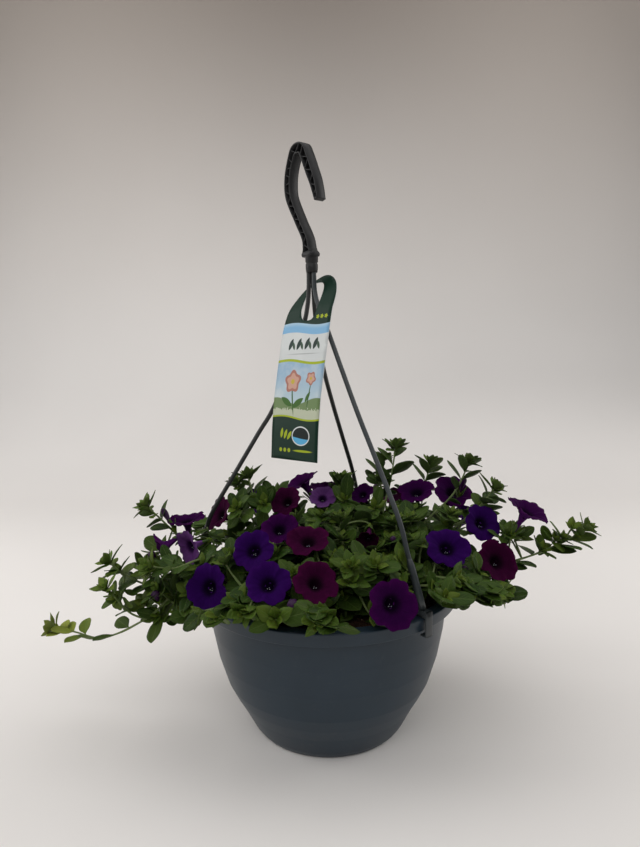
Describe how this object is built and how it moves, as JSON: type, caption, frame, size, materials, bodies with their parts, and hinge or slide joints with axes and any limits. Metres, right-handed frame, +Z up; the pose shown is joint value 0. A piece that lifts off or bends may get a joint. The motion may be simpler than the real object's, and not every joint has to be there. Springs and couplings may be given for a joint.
{
  "type": "hanging flower basket",
  "caption": "Hanging basket of purple and wine-red petunias: round plastic pot with soil, leafy trailing stems, rod hanger with a top hook, and a plain hang card.",
  "frame": {"origin": "centre of the pot's flat base, on the surface that it stands on", "axes": "+Z up, along the pot's axis to the hook; -Y the basket's front, which the card half faces; +X to the right of someone looking at the front"},
  "size_m": [0.5614, 0.3413, 0.5877],
  "materials": {
    "pot": "satin",
    "soil": "matte",
    "hanger": "satin",
    "tag": "satin",
    "foliage": "matte",
    "petals_lilac": "matte",
    "petals_purple": "matte",
    "petals_violet": "matte",
    "petals_wine": "matte"
  },
  "bodies": {
    "root": {"pot": "pot", "reservoir_plate": "pot", "soil": "soil", "hanger": "hanger", "tag": "tag", "stem_01": "foliage", "stem_02": "foliage", "stem_03": "foliage", "stem_04": "foliage", "stem_05": "foliage", "stem_06": "foliage", "stem_07": "foliage", "stem_08": "foliage", "stem_09": "foliage", "stem_10": "foliage", "stem_11": "foliage", "stem_12": "foliage", "stem_13": "foliage", "stem_14": "foliage", "stem_15": "foliage", "stem_16": "foliage", "stem_17": "foliage", "stem_18": "foliage", "stem_19": "foliage", "stem_20": "foliage", "stem_21": "foliage", "stem_22": "foliage", "stem_23": "foliage", "stem_24": "foliage", "stem_25": "foliage", "stem_26": "foliage", "bloom_01": "petals_violet", "bloom_02": "petals_violet", "bloom_03": "petals_violet", "bloom_04": "petals_wine", "bloom_05": "petals_wine", "bloom_06": "petals_purple", "bloom_07": "petals_violet", "bloom_08": "petals_violet", "bloom_09": "petals_wine", "bloom_10": "petals_purple", "bloom_11": "petals_purple", "bloom_12": "petals_purple", "bloom_13": "petals_purple", "bloom_14": "petals_lilac", "bloom_15": "petals_wine", "bloom_16": "petals_purple", "bloom_17": "petals_purple", "bloom_18": "petals_lilac", "bloom_19": "petals_purple", "bloom_20": "petals_wine", "bloom_21": "petals_purple", "bloom_22": "petals_wine", "bloom_23": "petals_violet", "bloom_24": "petals_purple", "bloom_25": "petals_wine", "bloom_26": "petals_violet"}
  },
  "joints": []
}
